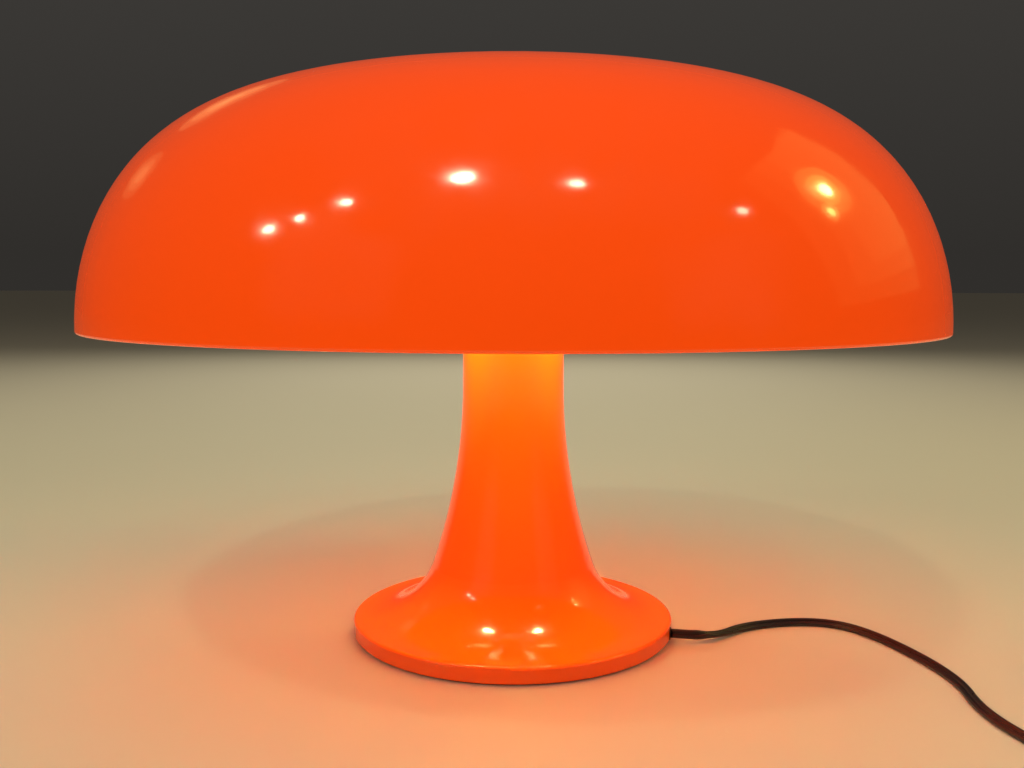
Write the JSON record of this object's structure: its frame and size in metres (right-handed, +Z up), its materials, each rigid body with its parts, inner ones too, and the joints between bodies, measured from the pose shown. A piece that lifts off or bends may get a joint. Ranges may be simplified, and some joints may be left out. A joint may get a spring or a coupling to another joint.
{
  "type": "mushroom table lamp",
  "caption": "Table lamp with a trumpet foot and stem, a wide lift-off domed shade over radial candle bulbs, a rear push button and a flat mains cord with a plug.",
  "frame": {"origin": "centre of the foot's underside, on the table", "axes": "+Z up along the stem, -Y towards the viewer, +X towards the side where the cord leaves"},
  "size_m": [0.6365, 0.54, 0.36],
  "materials": {
    "orange_moulding": "glossy orange moulded plastic",
    "orange_shade": "glossy translucent orange-red moulded plastic",
    "pad_rubber": "black rubber",
    "zinc_steel": "zinc plated steel",
    "ballast_iron": "dark cast iron",
    "carrier_white": "white painted sheet steel",
    "black_moulding": "black moulded plastic",
    "block_white": "white moulded plastic",
    "holder_white": "white glazed insulator",
    "lead_white": "white sleeved wire",
    "cord_brown": "satin black-brown flat flex",
    "grommet_black": "black rubber bush",
    "nickel": "nickel plate",
    "button_black": "glossy black button",
    "brass": "drawn brass",
    "bulb_glass": "frosted glass",
    "filament_warm": "warm light rods on a glass mount",
    "plug_black": "black-brown moulded plug"
  },
  "bodies": {
    "lamp": {"lamp_body": "orange_moulding", "base_plate": "orange_moulding", "foot_pad": "pad_rubber", "base_screws": "zinc_steel", "clamp_screws": "zinc_steel", "ballast": "ballast_iron", "centre_tube": "zinc_steel", "tube_nuts": "zinc_steel", "tube_washers": "zinc_steel", "lamp_carrier": "carrier_white", "holder_nuts": "black_moulding", "junction_block": "block_white", "terminal_block": "block_white", "riser_lead": "lead_white", "switch_lead": "lead_white", "cord_inner": "cord_brown", "cord_grommet": "grommet_black", "cord_clamp": "block_white", "switch_body": "black_moulding", "switch_nut": "nickel", "switch_spring": "zinc_steel", "shade_support": "carrier_white", "support_cushion": "pad_rubber", "cord_run": "cord_brown", "cord_coil": "cord_brown", "cord_tail": "cord_brown", "plug_body": "plug_black", "plug_pins": "nickel", "lampholder_1": "holder_white", "holder_shell_1": "brass", "holder_contact_1": "brass", "holder_lead_1": "lead_white", "lampholder_2": "holder_white", "holder_shell_2": "brass", "holder_contact_2": "brass", "holder_lead_2": "lead_white", "lampholder_3": "holder_white", "holder_shell_3": "brass", "holder_contact_3": "brass", "holder_lead_3": "lead_white", "lampholder_4": "holder_white", "holder_shell_4": "brass", "holder_contact_4": "brass", "holder_lead_4": "lead_white"},
    "shade": {"shade_shell": "orange_shade"},
    "button": {"switch_button": "button_black"},
    "bulb_1": {"bulb_cap_1": "nickel", "bulb_glass_1": "bulb_glass", "bulb_filament_1": "filament_warm"},
    "bulb_2": {"bulb_cap_2": "nickel", "bulb_glass_2": "bulb_glass", "bulb_filament_2": "filament_warm"},
    "bulb_3": {"bulb_cap_3": "nickel", "bulb_glass_3": "bulb_glass", "bulb_filament_3": "filament_warm"},
    "bulb_4": {"bulb_cap_4": "nickel", "bulb_glass_4": "bulb_glass", "bulb_filament_4": "filament_warm"}
  },
  "joints": [
    {"name": "shade_lift", "type": "slide", "parent": "lamp", "child": "shade", "axis": [0, 0, 1], "range_m": [0, 0.16]},
    {"name": "button_press", "type": "slide", "parent": "lamp", "child": "button", "axis": [0, -0.8377, -0.5461], "range_m": [0, 0.0025], "stiffness_N_per_m": 400, "springref_m": -0.002, "deforming": ["switch_spring"]},
    {"name": "bulb_1_unscrew", "type": "slide", "parent": "lamp", "child": "bulb_1", "axis": [0.7071, 0.7071, 0], "range_m": [0, 0.024]},
    {"name": "bulb_2_unscrew", "type": "slide", "parent": "lamp", "child": "bulb_2", "axis": [-0.7071, 0.7071, 0], "range_m": [0, 0.024]},
    {"name": "bulb_3_unscrew", "type": "slide", "parent": "lamp", "child": "bulb_3", "axis": [-0.7071, -0.7071, 0], "range_m": [0, 0.024]},
    {"name": "bulb_4_unscrew", "type": "slide", "parent": "lamp", "child": "bulb_4", "axis": [0.7071, -0.7071, 0], "range_m": [0, 0.024]}
  ]
}
